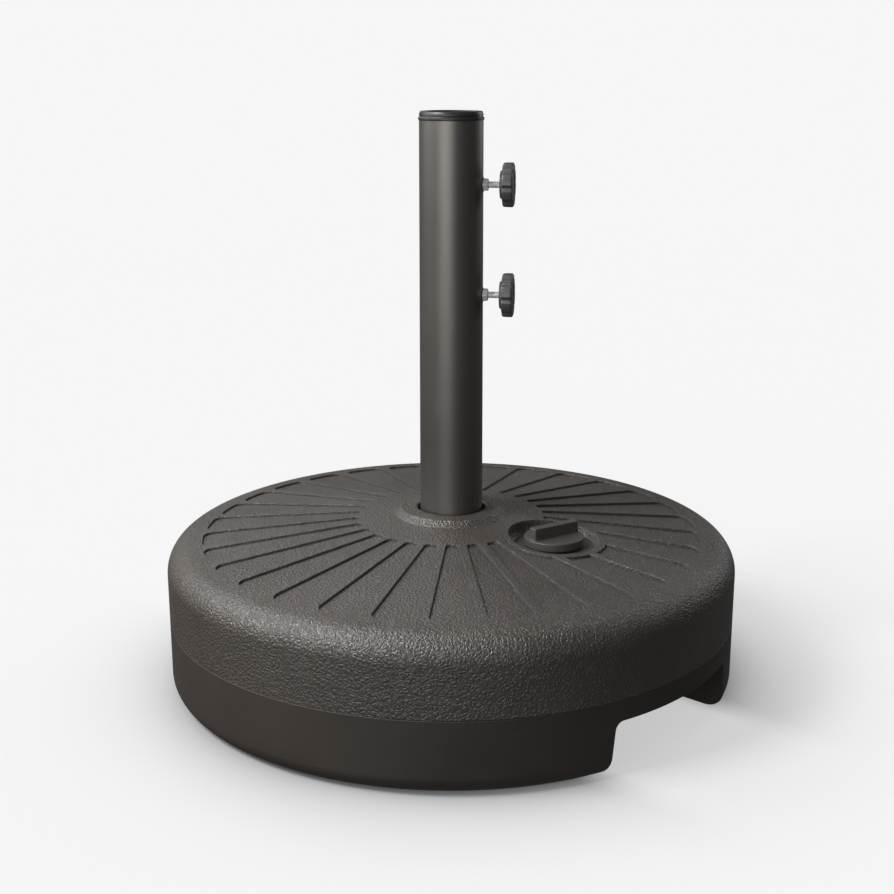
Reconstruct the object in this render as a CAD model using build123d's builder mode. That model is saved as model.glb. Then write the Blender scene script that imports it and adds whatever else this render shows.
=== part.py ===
from build123d import *
import os
from math import asin, atan2, cos, degrees, radians, sin, sqrt

os.makedirs("parts", exist_ok=True)

# Fillable round parasol base, in millimetres. +Z is up, the origin is on the
# tube's axis at the floor, and +X points through one hand-grip pocket.

# ---------------------------------------------------------------- dimensions
# tank outline (revolved)
TANK_R = 250.0            # largest radius, at the shoulder
TANK_WALL_FOOT_R = 248.5  # radius of the side wall just above the foot
FOOT_ROUND = 15.7         # rounded lower edge
SHOULDER_ROUND = 22.0     # rounded upper edge
CONE_R_IN, CONE_Z_IN = 81.7, 141.6     # a point of the sloping top
CONE_R_OUT, CONE_Z_OUT = 219.5, 127.0  # another point of the sloping top
COLLAR_R_FOOT, COLLAR_R_TOP = 50.0, 44.0
COLLAR_Z = 150.5          # top of the raised collar
WALL = 3.5                # blow-moulded wall

# radial panels sunk in the top
PANELS = 30
PANEL_DEPTH = 2.1
RIB_W = 7.0               # rib left between two panels
PANEL_R_IN, PANEL_R_OUT = 82.0, 219.5
PANEL_ROUND_IN, PANEL_ROUND_OUT = 3.6, 9.0

# filler dish, neck and cap
FILLER_ANGLE = 10.3
FILLER_R = 102.9          # distance from the tube's axis
DISH_FLOOR_Z = 132.0
DISH_FLOOR_R, DISH_RIM_R = 36.3, 39.0
DISH_LAND_R = 44.2        # panels stop at this circle round the dish
NECK_R = 21.0
NECK_BOTTOM_Z = 118.0
SEAL_T = 1.5
SEAL_R_OUT = 24.6
CAP_R, CAP_TOP_Z = 25.6, 140.4
CAP_SKIRT_R, CAP_SKIRT_IN_R, CAP_SKIRT_Z = 20.92, 18.5, 120.0
CAP_GRIP_L, CAP_GRIP_T, CAP_GRIP_H = 46.6, 9.0, 9.9
CAP_GRIP_ANGLE = 74.5

# hand-grip pockets, cut in the lower edge at 0 and 180 degrees
GRIP_FOOT_HALF_W = 80.8   # half width at the floor; the side walls have draft
GRIP_ROOF_HALF_W = 76.4
GRIP_H = 44.0
GRIP_IN_X = 175.0         # inner wall of the pocket
GRIP_ROUND = 7.0

# joint between the two welded shells of the tank
SEAM_Z = 61.6

# underside
FOOT_RING_R = 150.0       # inside this radius the bottom is raised
BOTTOM_RECESS = 3.0
ANCHOR_BORE_R = 24.0      # counterbore for the anchor bolt's head
ANCHOR_WEB_Z = 14.0
SOCKET_FLOOR_Z = 22.0
SOCKET_R = 27.55          # fits the tube
SOCKET_FLARE_Z, SOCKET_MOUTH_Z = 126.0, 138.0
SOCKET_MOUTH_R = 29.8
SOCKET_WALL_R = 34.5      # outside of the socket's wall, in the cavity

# steel tube and its foot
TUBE_R, TUBE_IN_R = 27.5, 26.3
TUBE_TOP_Z = 490.5
END_PLATE_T = 4.0
BOLT_R = 4.95             # M10
BOLT_HOLE_R = 5.5
NUT_BORE_R = 5.0
NUT_AF, NUT_H = 16.0, 8.0
BOLT_HEAD_AF, BOLT_HEAD_H = 16.0, 6.4
WASHER_R, WASHER_T = 17.0, 2.5
SPRING_WASHER_R, SPRING_WASHER_T = 9.0, 2.2

# plastic ring that centres the pole's foot; a thin skirt stands it on the end
# plate, clear of the nut and the bolt's end
RING_R, RING_H = 26.22, 34.0
RING_SKIRT_R, RING_SKIRT_H = 25.5, 14.0

# plastic bush in the tube's top
BUSH_R_IN = 24.9
BUSH_SLEEVE_R = 26.22
BUSH_FLANGE_R = 28.2
BUSH_BOTTOM_Z, BUSH_TOP_Z = 460.5, 498.0

# clamp screws: positions are distances from the tube's axis along the screw
CLAMP_ANGLE = 34.0
CLAMP_Z = (436.0, 341.0)  # upper, lower
SCREW_R = 2.95            # M6
SCREW_NUT_BORE_R = 3.0
WELD_NUT_AF, WELD_NUT_END = 10.0, 32.0
TUBE_SCREW_HOLE_R = 3.3
PAD_TIP, PAD_BACK, PAD_R = 25.1, 27.5, 2.3
PAD_STEM_R, PAD_STEM_END = 1.2, 30.6
SCREW_START = 27.6
SCREW_HEAD_AT, SCREW_HEAD_H, SCREW_HEAD_AF = 47.2, 4.0, 10.0
HUB_R, HUB_AT = 12.0, 42.3
KNOB_R, KNOB_AT, KNOB_END = 19.0, 44.5, 54.2
KNOB_LOBES, KNOB_LOBE_PHASE = 8, 28.0
KNOB_VALLEY_R, KNOB_VALLEY_AT = 4.2, 20.9
COVER_R, COVER_AT, COVER_T = 9.0, 52.0, 1.7


def cone_z(r, drop=0.0):
    slope = (CONE_Z_IN - CONE_Z_OUT) / (CONE_R_OUT - CONE_R_IN)
    return CONE_Z_OUT + (CONE_R_OUT - r) * slope - drop


def at(r, angle, z=0.0):
    return (r * cos(radians(angle)), r * sin(radians(angle)), z)


filler_xy = at(FILLER_R, FILLER_ANGLE)[:2]
wall_slope = (TANK_R - TANK_WALL_FOOT_R) / (104.0 - FOOT_ROUND)
wall_foot_r = TANK_WALL_FOOT_R - wall_slope * FOOT_ROUND
corner_z = 123.75
corner_r = TANK_WALL_FOOT_R + wall_slope * (corner_z - FOOT_ROUND)

# ---------------------------------------------------------------- tank tools
# the thirty sunk panels, as one cutting tool with a sloping floor
half_pitch = 180.0 / PANELS


def panel_corner(r, side):
    a = radians(half_pitch) - asin(RIB_W / 2 / r)
    return (r * cos(a), side * r * sin(a))


with BuildPart() as panel_tool:
    with BuildSketch(Plane.XY.offset(110)):
        with PolarLocations(0, PANELS):
            with BuildSketch(mode=Mode.PRIVATE) as one_panel:
                with BuildLine():
                    Line(panel_corner(PANEL_R_IN, 1), panel_corner(PANEL_R_OUT, 1))
                    ThreePointArc(panel_corner(PANEL_R_OUT, 1), (PANEL_R_OUT, 0), panel_corner(PANEL_R_OUT, -1))
                    Line(panel_corner(PANEL_R_OUT, -1), panel_corner(PANEL_R_IN, -1))
                    Line(panel_corner(PANEL_R_IN, -1), panel_corner(PANEL_R_IN, 1))
                make_face()
                fillet(one_panel.vertices().group_by(Axis.X)[-1], PANEL_ROUND_OUT)
                fillet(one_panel.vertices().group_by(Axis.X)[0], PANEL_ROUND_IN)
            add(one_panel.sketch)
        with Locations(filler_xy):
            Circle(DISH_LAND_R, mode=Mode.SUBTRACT)
    extrude(amount=50)
    with BuildSketch(Plane.XZ):
        with BuildLine():
            Polyline(
                (60, cone_z(60, PANEL_DEPTH)), (230, cone_z(230, PANEL_DEPTH)),
                (230, 165), (60, 165), close=True,
            )
        make_face()
    revolve(axis=Axis.Z, mode=Mode.INTERSECT)

# the hollow inside the tank: a ring round the socket, less the walls of the
# pockets, the dish and the neck
with BuildPart() as cavity:
    with BuildSketch(Plane.XZ) as cavity_profile:
        with BuildLine():
            Polyline(
                (SOCKET_WALL_R, BOTTOM_RECESS + WALL),
                (FOOT_RING_R + WALL, BOTTOM_RECESS + WALL),
                (FOOT_RING_R + WALL + 2, WALL),
                (wall_foot_r - WALL, WALL),
                (corner_r - WALL, cone_z(corner_r - WALL, 5.8)),
                (SOCKET_WALL_R, cone_z(SOCKET_WALL_R, 5.8)),
                close=True,
            )
        make_face()
        outer = cavity_profile.vertices().group_by(Axis.X)[-1]
        fillet(outer, SHOULDER_ROUND - WALL)
        foot = cavity_profile.vertices().filter_by(
            lambda v: abs(v.X - (wall_foot_r - WALL)) < 0.01 and abs(v.Z - WALL) < 0.01
        )
        fillet(foot, FOOT_ROUND - WALL)
    revolve(axis=Axis.Z)
    for side in (1, -1):
        with BuildSketch(Plane(origin=(side * (GRIP_IN_X - WALL), 0, 0), x_dir=(0, side, 0), z_dir=(side, 0, 0))):
            Polygon(
                (-GRIP_FOOT_HALF_W - WALL, 0),
                (GRIP_FOOT_HALF_W + WALL, 0),
                (GRIP_ROOF_HALF_W + WALL, GRIP_H + WALL),
                (-GRIP_ROOF_HALF_W - WALL, GRIP_H + WALL),
                align=None,
            )
        extrude(amount=120, mode=Mode.SUBTRACT)
    with Locations((*filler_xy, (DISH_FLOOR_Z - WALL + 160) / 2)):
        Cylinder(DISH_RIM_R + WALL, 160 - DISH_FLOOR_Z + WALL, mode=Mode.SUBTRACT)
    with Locations((*filler_xy, (NECK_BOTTOM_Z + 160) / 2)):
        Cylinder(NECK_R + WALL, 160 - NECK_BOTTOM_Z, mode=Mode.SUBTRACT)

# ---------------------------------------------------------------- tank
# the whole tank, before it is parted into its two shells
with BuildPart() as tank:
    with BuildSketch(Plane.XZ) as outline:
        with BuildLine():
            Polyline(
                (0, 0), (wall_foot_r, 0), (corner_r, corner_z),
                (COLLAR_R_FOOT, cone_z(COLLAR_R_FOOT)), (COLLAR_R_TOP, COLLAR_Z),
                (0, COLLAR_Z), close=True,
            )
        make_face()
        fillet(outline.vertices().group_by(Axis.X)[-1], SHOULDER_ROUND)
        fillet(
            outline.vertices().filter_by(
                lambda v: abs(v.X - wall_foot_r) < 0.01 and abs(v.Z) < 0.01
            ),
            FOOT_ROUND,
        )
        fillet(
            outline.vertices().filter_by(
                lambda v: abs(v.X - COLLAR_R_TOP) < 0.01 and abs(v.Z - COLLAR_Z) < 0.01
            ),
            1.5,
        )
        fillet(
            outline.vertices().filter_by(
                lambda v: abs(v.X - COLLAR_R_FOOT) < 0.01
            ),
            2.0,
        )
    revolve(axis=Axis.Z)
    # socket for the tube, with a wider mouth, and the anchor bolt's seat
    with BuildSketch(Plane.XZ):
        with BuildLine():
            Polyline(
                (0, SOCKET_FLOOR_Z), (SOCKET_R, SOCKET_FLOOR_Z), (SOCKET_R, SOCKET_FLARE_Z),
                (SOCKET_MOUTH_R, SOCKET_MOUTH_Z), (SOCKET_MOUTH_R, COLLAR_Z + 5),
                (0, COLLAR_Z + 5), close=True,
            )
        make_face()
    revolve(axis=Axis.Z, mode=Mode.SUBTRACT)
    with Locations((0, 0, SOCKET_FLOOR_Z / 2)):
        Cylinder(BOLT_HOLE_R, SOCKET_FLOOR_Z + 4, mode=Mode.SUBTRACT)
    with Locations((0, 0, ANCHOR_WEB_Z / 2 - 2)):
        Cylinder(ANCHOR_BORE_R, ANCHOR_WEB_Z + 4, mode=Mode.SUBTRACT)
    with Locations((0, 0, BOTTOM_RECESS / 2 - 2)):
        Cylinder(FOOT_RING_R, BOTTOM_RECESS + 4, mode=Mode.SUBTRACT)
    add(panel_tool.part, mode=Mode.SUBTRACT)
    # filler dish
    dish_plane = Plane(origin=(*filler_xy, 0), x_dir=(1, 0, 0), z_dir=(0, -1, 0))
    with BuildSketch(dish_plane):
        with BuildLine():
            Polyline(
                (0, DISH_FLOOR_Z), (DISH_FLOOR_R, DISH_FLOOR_Z), (DISH_RIM_R, DISH_FLOOR_Z + 5),
                (DISH_RIM_R + 0.6, 160), (0, 160), close=True,
            )
        make_face()
    revolve(axis=Axis((*filler_xy, 0), (0, 0, 1)), mode=Mode.SUBTRACT)
    # hand-grip pockets, open below and at the side
    for side in (1, -1):
        with BuildSketch(Plane(origin=(side * GRIP_IN_X, 0, 0), x_dir=(0, side, 0), z_dir=(side, 0, 0))) as grip:
            grip_foot = GRIP_FOOT_HALF_W + 5 * (GRIP_FOOT_HALF_W - GRIP_ROOF_HALF_W) / GRIP_H
            Polygon(
                (-grip_foot, -5),
                (grip_foot, -5),
                (GRIP_ROOF_HALF_W, GRIP_H),
                (-GRIP_ROOF_HALF_W, GRIP_H),
                align=None,
            )
            fillet(grip.vertices().group_by(Axis.Z)[-1], GRIP_ROUND)
        extrude(amount=100, mode=Mode.SUBTRACT)
    add(cavity.part, mode=Mode.SUBTRACT)
    # the neck opens into the hollow
    with Locations((*filler_xy, (NECK_BOTTOM_Z + DISH_FLOOR_Z) / 2)):
        Cylinder(NECK_R, DISH_FLOOR_Z - NECK_BOTTOM_Z + 4, mode=Mode.SUBTRACT)

# upper shell: grained top, shoulder, collar, filler dish and neck
with BuildPart() as tank_upper_shell:
    add(tank.part)
    split(bisect_by=Plane.XY.offset(SEAM_Z), keep=Keep.TOP)
tank_upper_shell.part.label = "tank_upper_shell"

# lower shell: smooth band, foot, hand-grip pockets and the socket's floor
with BuildPart() as tank_lower_shell:
    add(tank.part)
    split(bisect_by=Plane.XY.offset(SEAM_Z), keep=Keep.BOTTOM)
tank_lower_shell.part.label = "tank_lower_shell"

# ---------------------------------------------------------------- tube group
clamp_dir = at(1.0, CLAMP_ANGLE)
clamp_side = at(1.0, CLAMP_ANGLE + 90)


def clamp_plane(z, distance=0.0):
    x, y, _ = at(distance, CLAMP_ANGLE)
    return Plane(origin=(x, y, z), x_dir=clamp_side, z_dir=clamp_dir)


with BuildPart() as pole_tube:
    with BuildSketch(Plane.XY.offset(SOCKET_FLOOR_Z)):
        Circle(TUBE_R)
        Circle(TUBE_IN_R, mode=Mode.SUBTRACT)
    extrude(amount=TUBE_TOP_Z - SOCKET_FLOOR_Z)
    for z in CLAMP_Z:
        with BuildSketch(clamp_plane(z, 20)):
            Circle(TUBE_SCREW_HOLE_R)
        extrude(amount=12, mode=Mode.SUBTRACT)
pole_tube.part.label = "pole_tube"

with BuildPart() as tube_end_plate:
    with BuildSketch(Plane.XY.offset(SOCKET_FLOOR_Z)):
        Circle(TUBE_IN_R - 0.02)
        Circle(BOLT_HOLE_R, mode=Mode.SUBTRACT)
    extrude(amount=END_PLATE_T)
tube_end_plate.part.label = "tube_end_plate"

with BuildPart() as end_plate_nut:
    with BuildSketch(Plane.XY.offset(SOCKET_FLOOR_Z + END_PLATE_T)):
        RegularPolygon(NUT_AF / 2, 6, major_radius=False)
        Circle(NUT_BORE_R, mode=Mode.SUBTRACT)
    extrude(amount=NUT_H)
end_plate_nut.part.label = "end_plate_nut"

head_top = ANCHOR_WEB_Z - WASHER_T - SPRING_WASHER_T
with BuildPart() as anchor_bolt:
    with BuildSketch(Plane.XY.offset(head_top - BOLT_HEAD_H)):
        RegularPolygon(BOLT_HEAD_AF / 2, 6, major_radius=False)
    extrude(amount=BOLT_HEAD_H)
    with BuildSketch(Plane.XY.offset(head_top)):
        Circle(BOLT_R)
    extrude(amount=SOCKET_FLOOR_Z + END_PLATE_T + NUT_H + 4 - head_top)
    chamfer(anchor_bolt.edges().filter_by(GeomType.CIRCLE).sort_by(Axis.Z)[-1], 1.0)
anchor_bolt.part.label = "anchor_bolt"

with BuildPart() as anchor_washer:
    with BuildSketch(Plane.XY.offset(ANCHOR_WEB_Z - WASHER_T)):
        Circle(WASHER_R)
        Circle(BOLT_R + 0.3, mode=Mode.SUBTRACT)
    extrude(amount=WASHER_T)
anchor_washer.part.label = "anchor_washer"

with BuildPart() as anchor_spring_washer:
    with BuildSketch(Plane.XY.offset(head_top)):
        Circle(SPRING_WASHER_R)
        Circle(BOLT_R + 0.2, mode=Mode.SUBTRACT)
        with Locations((SPRING_WASHER_R, 0)):
            Rectangle(2 * SPRING_WASHER_R - BOLT_R, 1.2, rotation=20, mode=Mode.SUBTRACT)
    extrude(amount=SPRING_WASHER_T)
anchor_spring_washer.part.label = "anchor_spring_washer"

with BuildPart() as pole_centring_ring:
    with BuildSketch(Plane.XY.offset(SOCKET_FLOOR_Z + END_PLATE_T)):
        Circle(RING_R)
        Circle(BUSH_R_IN, mode=Mode.SUBTRACT)
    extrude(amount=RING_H)
    with BuildSketch(Plane.XY.offset(SOCKET_FLOOR_Z + END_PLATE_T)):
        Circle(RING_SKIRT_R)
    extrude(amount=RING_SKIRT_H, mode=Mode.SUBTRACT)
pole_centring_ring.part.label = "pole_centring_ring"

with BuildPart() as tube_top_bush:
    with BuildSketch(Plane.XZ):
        with BuildLine():
            Polyline(
                (BUSH_R_IN, BUSH_BOTTOM_Z), (BUSH_SLEEVE_R - 0.4, BUSH_BOTTOM_Z),
                (BUSH_SLEEVE_R, BUSH_BOTTOM_Z + 2), (BUSH_SLEEVE_R, TUBE_TOP_Z),
                (BUSH_FLANGE_R - 0.5, TUBE_TOP_Z), (BUSH_FLANGE_R, TUBE_TOP_Z + 0.6),
                (BUSH_FLANGE_R, TUBE_TOP_Z + 2.0), (BUSH_FLANGE_R - 0.8, TUBE_TOP_Z + 2.6),
                (BUSH_FLANGE_R - 1.1, TUBE_TOP_Z + 3.2), (BUSH_FLANGE_R - 0.8, TUBE_TOP_Z + 3.9),
                (BUSH_FLANGE_R - 0.8, TUBE_TOP_Z + 4.6), (BUSH_FLANGE_R - 1.9, BUSH_TOP_Z),
                (BUSH_R_IN, BUSH_TOP_Z), close=True,
            )
        make_face()
    revolve(axis=Axis.Z)
tube_top_bush.part.label = "tube_top_bush"


# ---------------------------------------------------------------- clamp sets
def made(name, builder):
    builder.part.label = name
    return builder.part


clamp_parts = []
for prefix, z in (("upper", CLAMP_Z[0]), ("lower", CLAMP_Z[1])):
    # nut whose foot follows the tube, with its corners up and down
    with BuildPart() as weld_nut:
        with BuildSketch(clamp_plane(z, 25.5)):
            RegularPolygon(WELD_NUT_AF / 2, 6, major_radius=False, rotation=30)
            Circle(SCREW_NUT_BORE_R, mode=Mode.SUBTRACT)
        extrude(amount=WELD_NUT_END - 25.5)
        with Locations((0, 0, z)):
            Cylinder(TUBE_R, 30, mode=Mode.SUBTRACT)
    clamp_parts.append(made(prefix + "_weld_nut", weld_nut))

    # screw with a hexagon head held in the knob and a socket for the pad's stem
    with BuildPart() as clamp_screw:
        with BuildSketch(clamp_plane(z, SCREW_START)):
            Circle(SCREW_R)
        extrude(amount=SCREW_HEAD_AT - SCREW_START)
        chamfer(clamp_screw.edges().filter_by(GeomType.CIRCLE).sort_by(Axis((0, 0, z), clamp_dir))[0], 0.5)
        with BuildSketch(clamp_plane(z, SCREW_HEAD_AT)):
            RegularPolygon(SCREW_HEAD_AF / 2, 6, major_radius=False, rotation=30)
        extrude(amount=SCREW_HEAD_H)
        with BuildSketch(clamp_plane(z, SCREW_START - 1)):
            Circle(PAD_STEM_R + 0.05)
        extrude(amount=PAD_STEM_END - SCREW_START + 1.2, mode=Mode.SUBTRACT)
    clamp_parts.append(made(prefix + "_clamp_screw", clamp_screw))

    # nylon pad on a stem that turns in the screw's end
    with BuildPart() as pressure_pad:
        with BuildSketch(clamp_plane(z, PAD_TIP)):
            Circle(PAD_R)
        extrude(amount=PAD_BACK - PAD_TIP)
        chamfer(pressure_pad.edges().filter_by(GeomType.CIRCLE).sort_by(Axis((0, 0, z), clamp_dir))[0], 0.6)
        with BuildSketch(clamp_plane(z, PAD_BACK - 0.5)):
            Circle(PAD_STEM_R)
        extrude(amount=PAD_STEM_END - PAD_BACK + 0.5)
    clamp_parts.append(made(prefix + "_pressure_pad", pressure_pad))

    # lobed hand knob
    with BuildPart() as clamp_knob:
        with BuildSketch(clamp_plane(z, KNOB_AT)) as lobes:
            Circle(KNOB_R)
            with PolarLocations(KNOB_VALLEY_AT, KNOB_LOBES, start_angle=KNOB_LOBE_PHASE + 22.5):
                Circle(KNOB_VALLEY_R, mode=Mode.SUBTRACT)
            fillet(lobes.vertices(), 1.6)
        extrude(amount=KNOB_END - KNOB_AT)
        rims = clamp_knob.faces().filter_by(Plane(origin=(0, 0, z), x_dir=clamp_side, z_dir=clamp_dir))
        chamfer(rims.edges(), 0.9)
        with BuildSketch(clamp_plane(z, HUB_AT)):
            Circle(HUB_R)
        extrude(amount=KNOB_AT - HUB_AT + 0.5)
        with BuildSketch(clamp_plane(z, HUB_AT - 1)):
            Circle(SCREW_R + 0.03)
        extrude(amount=20, mode=Mode.SUBTRACT)
        with BuildSketch(clamp_plane(z, SCREW_HEAD_AT)):
            RegularPolygon(SCREW_HEAD_AF / 2 + 0.03, 6, major_radius=False, rotation=30)
        extrude(amount=20, mode=Mode.SUBTRACT)
        with BuildSketch(clamp_plane(z, COVER_AT)):
            Circle(COVER_R + 0.03)
        extrude(amount=20, mode=Mode.SUBTRACT)
    clamp_parts.append(made(prefix + "_clamp_knob", clamp_knob))

    # press-in cover over the screw's head
    with BuildPart() as knob_cover:
        with BuildSketch(clamp_plane(z, COVER_AT)):
            Circle(COVER_R)
        extrude(amount=COVER_T)
        chamfer(knob_cover.edges().filter_by(GeomType.CIRCLE).sort_by(Axis((0, 0, z), clamp_dir))[-1], 0.5)
    clamp_parts.append(made(prefix + "_knob_cover", knob_cover))

# ---------------------------------------------------------------- filler cap
with BuildPart() as filler_cap_seal:
    with BuildSketch(Plane.XY.offset(DISH_FLOOR_Z)):
        with Locations(filler_xy):
            Circle(SEAL_R_OUT)
            Circle(CAP_SKIRT_R + 0.08, mode=Mode.SUBTRACT)
    extrude(amount=SEAL_T)
filler_cap_seal.part.label = "filler_cap_seal"

with BuildPart() as filler_cap:
    with BuildSketch(Plane.XY.offset(DISH_FLOOR_Z + SEAL_T)):
        with Locations(filler_xy):
            Circle(CAP_R)
    extrude(amount=CAP_TOP_Z - DISH_FLOOR_Z - SEAL_T)
    fillet(filler_cap.edges().filter_by(GeomType.CIRCLE).sort_by(Axis.Z)[-1], 1.0)
    with BuildSketch(Plane.XY.offset(CAP_SKIRT_Z)):
        with Locations(filler_xy):
            Circle(CAP_SKIRT_R)
    extrude(amount=DISH_FLOOR_Z + SEAL_T - CAP_SKIRT_Z)
    with BuildSketch(Plane.XY.offset(CAP_SKIRT_Z - 1)):
        with Locations(filler_xy):
            Circle(CAP_SKIRT_IN_R)
    extrude(amount=CAP_TOP_Z - 3.0 - CAP_SKIRT_Z + 1, mode=Mode.SUBTRACT)
    with BuildSketch(Plane.XY.offset(CAP_TOP_Z - 0.5)) as bar:
        with Locations(Location((*filler_xy, 0), (0, 0, CAP_GRIP_ANGLE))):
            RectangleRounded(CAP_GRIP_L, CAP_GRIP_T, 1.4)
    extrude(amount=CAP_GRIP_H + 0.5)
filler_cap.part.label = "filler_cap"

# ---------------------------------------------------------------- export
for part in (
    [tank_upper_shell.part, tank_lower_shell.part, pole_tube.part, pole_centring_ring.part, tube_end_plate.part, end_plate_nut.part,
     anchor_bolt.part, anchor_washer.part, anchor_spring_washer.part,
     tube_top_bush.part, filler_cap_seal.part, filler_cap.part] + clamp_parts
):
    export_step(part, f"parts/{part.label}.step")
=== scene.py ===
import math

import bpy
import bmesh
import numpy as np
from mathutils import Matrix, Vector
from mathutils.geometry import delaunay_2d_cdt


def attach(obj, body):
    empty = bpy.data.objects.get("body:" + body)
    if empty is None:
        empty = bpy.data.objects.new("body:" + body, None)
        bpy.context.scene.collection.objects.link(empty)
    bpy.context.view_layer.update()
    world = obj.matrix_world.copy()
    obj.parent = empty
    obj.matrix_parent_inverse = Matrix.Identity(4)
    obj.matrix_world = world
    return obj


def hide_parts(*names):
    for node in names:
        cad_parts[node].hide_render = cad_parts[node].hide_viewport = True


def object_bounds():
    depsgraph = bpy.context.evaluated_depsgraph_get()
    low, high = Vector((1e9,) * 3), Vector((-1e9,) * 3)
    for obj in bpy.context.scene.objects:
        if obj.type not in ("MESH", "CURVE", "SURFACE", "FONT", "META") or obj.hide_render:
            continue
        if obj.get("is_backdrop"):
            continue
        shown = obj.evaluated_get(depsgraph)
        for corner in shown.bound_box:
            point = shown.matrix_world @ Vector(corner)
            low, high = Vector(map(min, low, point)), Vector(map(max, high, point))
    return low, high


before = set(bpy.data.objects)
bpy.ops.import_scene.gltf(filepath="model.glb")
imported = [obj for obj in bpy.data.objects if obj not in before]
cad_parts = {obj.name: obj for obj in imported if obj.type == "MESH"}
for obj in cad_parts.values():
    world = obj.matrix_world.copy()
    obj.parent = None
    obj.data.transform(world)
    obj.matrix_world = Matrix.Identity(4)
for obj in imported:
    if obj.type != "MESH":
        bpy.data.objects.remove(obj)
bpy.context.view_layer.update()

# Every length below is in millimetres in the row frame and becomes metres when a mesh is made.
CONE_R_IN, CONE_Z_IN, CONE_R_OUT, CONE_Z_OUT = 81.7, 141.6, 219.5, 127.0
SLOPE = (CONE_Z_IN - CONE_Z_OUT) / (CONE_R_OUT - CONE_R_IN)
SEAM_Z = 61.6
FILLER_ANGLE, FILLER_R = math.radians(10.3), 102.9
FX, FY = FILLER_R * math.cos(FILLER_ANGLE), FILLER_R * math.sin(FILLER_ANGLE)
CLAMP = math.radians(34.0)
CLAMP_U = np.array([math.cos(CLAMP), math.sin(CLAMP), 0.0])
CLAMP_T = np.array([-math.sin(CLAMP), math.cos(CLAMP), 0.0])


def cone_z(r):
    return CONE_Z_OUT + (CONE_R_OUT - r) * SLOPE


# ------------------------------------------------------------------ mesh kit
class Shell:
    def __init__(self):
        self.v, self.f, self.n = [], [], 0

    def add(self, pts):
        pts = np.asarray(pts, float).reshape(-1, 3)
        start = self.n
        self.v.append(pts)
        self.n += len(pts)
        return start

    def strip(self, rows, closed=True, wrap=False):
        rows = [np.asarray(r, float) for r in rows]
        n = len(rows[0])
        starts = [self.add(r) for r in rows]
        pairs = list(zip(starts[:-1], starts[1:]))
        if wrap:
            pairs.append((starts[-1], starts[0]))
        for a, b in pairs:
            for i in range(n if closed else n - 1):
                j = (i + 1) % n
                self.f.append((a + i, a + j, b + j, b + i))

    def fan(self, ring, centre):
        s = self.add(ring)
        c = self.add([centre])
        n = len(ring)
        for i in range(n):
            self.f.append((s + i, s + (i + 1) % n, c))

    def triangles(self, pts, tris):
        s = self.add(pts)
        self.f += [tuple(s + i for i in t) for t in tris]


def make(name, shell, body, material, replaces=(), weld=2e-6):
    co = np.concatenate(shell.v) * 0.001
    mesh = bpy.data.meshes.new(name)
    mesh.from_pydata(co.tolist(), [], shell.f)
    bm = bmesh.new()
    bm.from_mesh(mesh)
    bmesh.ops.remove_doubles(bm, verts=bm.verts, dist=weld)
    bmesh.ops.dissolve_degenerate(bm, dist=1e-7, edges=bm.edges)
    bmesh.ops.recalc_face_normals(bm, faces=bm.faces)
    bm.to_mesh(mesh)
    bm.free()
    mesh.polygons.foreach_set("use_smooth", [True] * len(mesh.polygons))
    # area-weighted vertex normals keep the flats flat and the rounded edges round
    normals = np.zeros((len(mesh.vertices), 3))
    nv = len(mesh.polygons)
    fn = np.zeros(nv * 3); mesh.polygons.foreach_get("normal", fn)
    fa = np.zeros(nv); mesh.polygons.foreach_get("area", fa)
    weight = fn.reshape(-1, 3) * fa[:, None]
    loops = np.zeros(len(mesh.loops), int); mesh.loops.foreach_get("vertex_index", loops)
    total = np.zeros(nv, int); mesh.polygons.foreach_get("loop_total", total)
    np.add.at(normals, loops, np.repeat(weight, total, axis=0))
    length = np.linalg.norm(normals, axis=1)
    length[length == 0] = 1
    mesh.normals_split_custom_set_from_vertices((normals / length[:, None]).tolist())
    o = bpy.data.objects.new(name, mesh)
    bpy.context.scene.collection.objects.link(o)
    mesh.materials.append(material)
    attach(o, body)
    if replaces:
        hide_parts(*replaces)
    return o


def ring(r, z, n, phase=0.0):
    a = np.arange(n) * 2 * math.pi / n + phase
    return np.stack([r * np.cos(a), r * np.sin(a), np.full(n, float(z))], 1)


def fillet(p0, p1, p2, r, n):
    """Points of the arc of radius r that rounds the corner p1."""
    p0, p1, p2 = (np.array(p, float) for p in (p0, p1, p2))
    a, b = p0 - p1, p2 - p1
    a, b = a / np.linalg.norm(a), b / np.linalg.norm(b)
    half = math.acos(max(-1, min(1, a @ b))) / 2
    t = r / math.tan(half)
    c = p1 + (a + b) / np.linalg.norm(a + b) * (r / math.sin(half))
    s, e = p1 + a * t - c, p1 + b * t - c
    a0, a1 = math.atan2(s[1], s[0]), math.atan2(e[1], e[0])
    while a1 - a0 > math.pi: a1 -= 2 * math.pi
    while a1 - a0 < -math.pi: a1 += 2 * math.pi
    return [tuple(c + r * np.array([math.cos(x), math.sin(x)])) for x in np.linspace(a0, a1, n + 1)]


def rounded(points, n=5):
    """A path of (r, z, radius) corners, each rounded; radius 0 keeps the corner."""
    out = []
    for i, (x, y, r) in enumerate(points):
        if r <= 0 or i in (0, len(points) - 1):
            out.append((x, y))
        else:
            out += fillet(points[i - 1][:2], (x, y), points[i + 1][:2], r, n)
    return out


def rounded_loop(points, n=5):
    out = []
    for i, (x, y, r) in enumerate(points):
        if r <= 0:
            out.append((x, y))
        else:
            out += fillet(points[i - 1][:2], (x, y), points[(i + 1) % len(points)][:2], r, n)
    return out


def clamp_pts(local, z):
    """(t, up, s) of a clamp's own frame to the row frame."""
    local = np.asarray(local, float)
    p = local[:, 2:3] * CLAMP_U + local[:, 0:1] * CLAMP_T
    p[:, 2] += z + local[:, 1]
    return p


def smin(a, b, k):
    h = np.maximum(k - np.abs(a - b), 0) / k
    return np.minimum(a, b) - h * h * k / 4


def smax(a, b, k):
    return -smin(-a, -b, k)


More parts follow.
